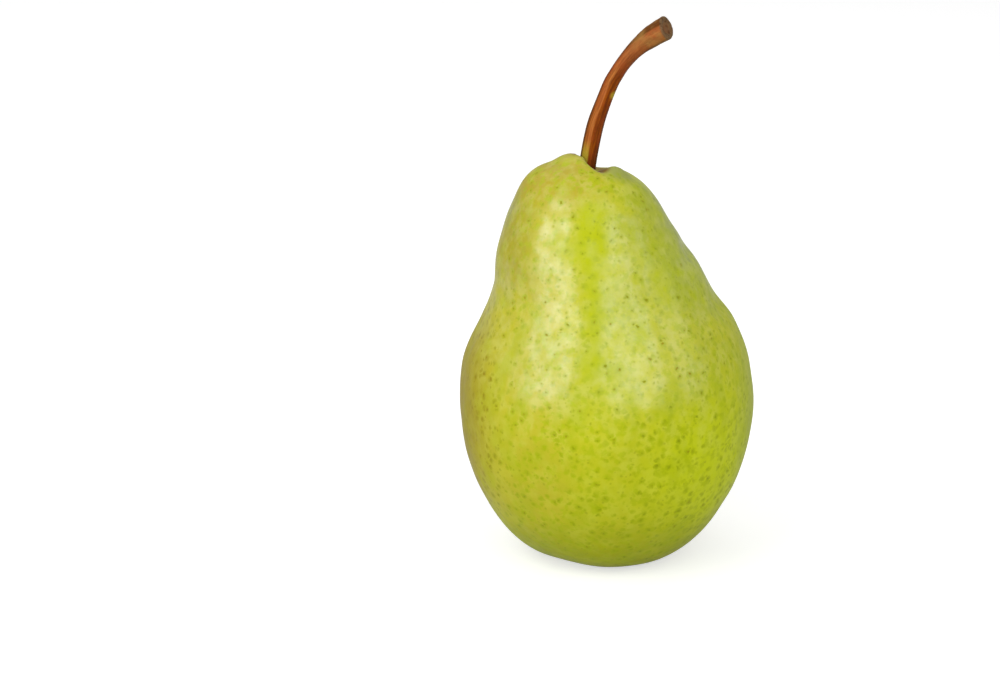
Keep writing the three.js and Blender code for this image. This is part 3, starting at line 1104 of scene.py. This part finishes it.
bark_paint = fibres.tinted(colour(114, 48, 0), colour(150, 74, 2))
bark_paint = bark_paint.tint(colour(188, 112, 50), painted_highlight * (0.65 + fibres * 0.35))
bark_paint = bark_paint.tint(colour(162, 96, 50), upper * 0.65)
bark_paint = bark_paint.tint(colour(86, 40, 10), fine * 0.35)
bark_paint = bark_paint.tint(colour(160, 66, 30), blotches * 0.3)
root_green = along.ramp(12, 6) * (right + sway * 0.5).ramp(-0.1, -0.6)
bark_paint = bark_paint.tint(colour(176, 158, 44), root_green * 0.95)
# painted shade: darker bands along the stem's left and right edges
edges = right.ramp(-1.6, -1.95) + right.ramp(1.6, 1.95)
bark_paint = bark_paint.tint(colour(84, 46, 0), edges * 0.8)
green_spot = wood.away_from((1.6, -1.0, 23.5)).ramp(1.5, 0.5)
bark_paint = bark_paint.tint(colour(170, 150, 40), green_spot * 0.8)
count_nodes("bark painted", bark_shader)

# %% [markdown]
# ## The club and the scar
# The club is duller and patchy, where the bark has weathered. The scar is a dull grey-brown with
# dark cracks. The scar is all that lies beyond the plane of the cut, so the distance from that
# plane paints it, whichever way the cut slants.

# %% Paint the club and the scar
khaki = wood.noise(2.6, detail=3, seed=(2, 9, 6)).ramp(0.34, 0.68) * along.ramp(34, 40)
bark_paint = bark_paint.tint(colour(168, 126, 64), khaki * 0.5)
beyond_cut = coordinates(bark_shader).along(SCAR_WAY) - SCAR.dot(SCAR_WAY) / MM
cracks = wood.noise(0.9, detail=4, seed=(4, 4, 9)).ramp(0.5, 0.34)
scar_paint = cracks.tinted(colour(112, 88, 60), colour(76, 50, 30))
bark_paint = bark_paint.tint(scar_paint, beyond_cut.ramp(-0.25, 0.2) * 0.9)
# painted shade: darker low on the right of the stem, where it leaves the hollow
bark_paint = bark_paint.tint(colour(64, 32, 2), along.ramp(8, 3) * right.ramp(-0.2, 1) * 0.6)
connect(
    bark_shader,
    Base_Color=bark_paint,
    Roughness=0.5 + fibres * 0.15,
    Normal=bumped(fibres * 0.05 + fine * 0.03 + blotches * 0.03),
)
count_nodes("stem painted", bark_shader)

# %% [markdown]
# ## The calyx's finish
# Dry flower parts are matt and brittle, brown with a few greyish patches, and darker the lower
# they hang towards the table. At this size two noises and the height are enough.

# %% Paint the calyx
calyx_shader = new_material("dry_sepals", cup, IOR=1.4)
on_calyx = coordinates(calyx_shader)
_, _, above_table = on_calyx.parts()
crumbs = on_calyx.noise(0.5, detail=4, seed=(2, 2, 9)).ramp(0.35, 0.65)
flecks = on_calyx.noise(1.8, seed=(4, 9, 9)).ramp(0.4, 0.7)
dry = crumbs.tinted(colour(92, 54, 26), colour(132, 88, 48))
# darker the lower it hangs, nearer the table
dry = dry.tint(colour(58, 34, 18), above_table.ramp(3.2, 1.4) * 0.7)
dry = dry.tint(colour(142, 118, 84), flecks * 0.5)
connect(
    calyx_shader,
    Base_Color=dry,
    Roughness=0.75 + crumbs * 0.15,
    Normal=bumped(crumbs * 0.06),
)
count_nodes("calyx painted", calyx_shader)

# %% [markdown]
# ## The floor
# A sheet of white paper, far larger than the view, so that it is also the background. A white
# studio sheet is lit until it burns out. Here the camera sees it with a little light of its own,
# which no other ray sees, so the pear is not lit from below by it.

# %% Lay the floor
FLOOR_SIDE = 8
paper = (0.6, 0.6, 0.6, 1)

floor = start_from(bpy.ops.mesh.primitive_plane_add, "floor", size=FLOOR_SIDE)
floor_shader = new_material(
    "white_paper", floor, Base_Color=paper, Roughness=0.9, Emission_Strength=1.0
)
rays = floor_shader.id_data.nodes.new("ShaderNodeLightPath")
seen_directly = Wire(rays.outputs["Is Camera Ray"])
connect(floor_shader, Emission_Color=seen_directly.tinted((0, 0, 0, 1), paper))
floor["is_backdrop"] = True
print("floor, m:", list(floor.dimensions.xy))

# %% [markdown]
# ## What each piece stands for
# The three pieces stand in the places of the three solids, and the solids are hidden.
# Nothing on a pear moves, so all of them ride on its one body.

STANDS_FOR = {skin: ("fruit", "skin"), bark: ("stem", "stem_bark"), cup: ("calyx", "dry_calyx")}
for piece, (node, slot) in STANDS_FOR.items():
    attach(piece, "root")
    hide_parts(node)
    print(piece.name, "stands for", node)

# %% [markdown]
# ## The size
# The finished surfaces have to keep the size of the solids, so both boxes are printed.

# %% Print the sizes and finish
visual_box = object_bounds()
sizes = {"cad": [list(corner) for corner in cad_box]}
sizes["visual"] = [list(corner) for corner in visual_box]
for name, (low, high) in sizes.items():
    print(name, "box, mm:", [round(value / MM, 2) for value in (*low, *high)])
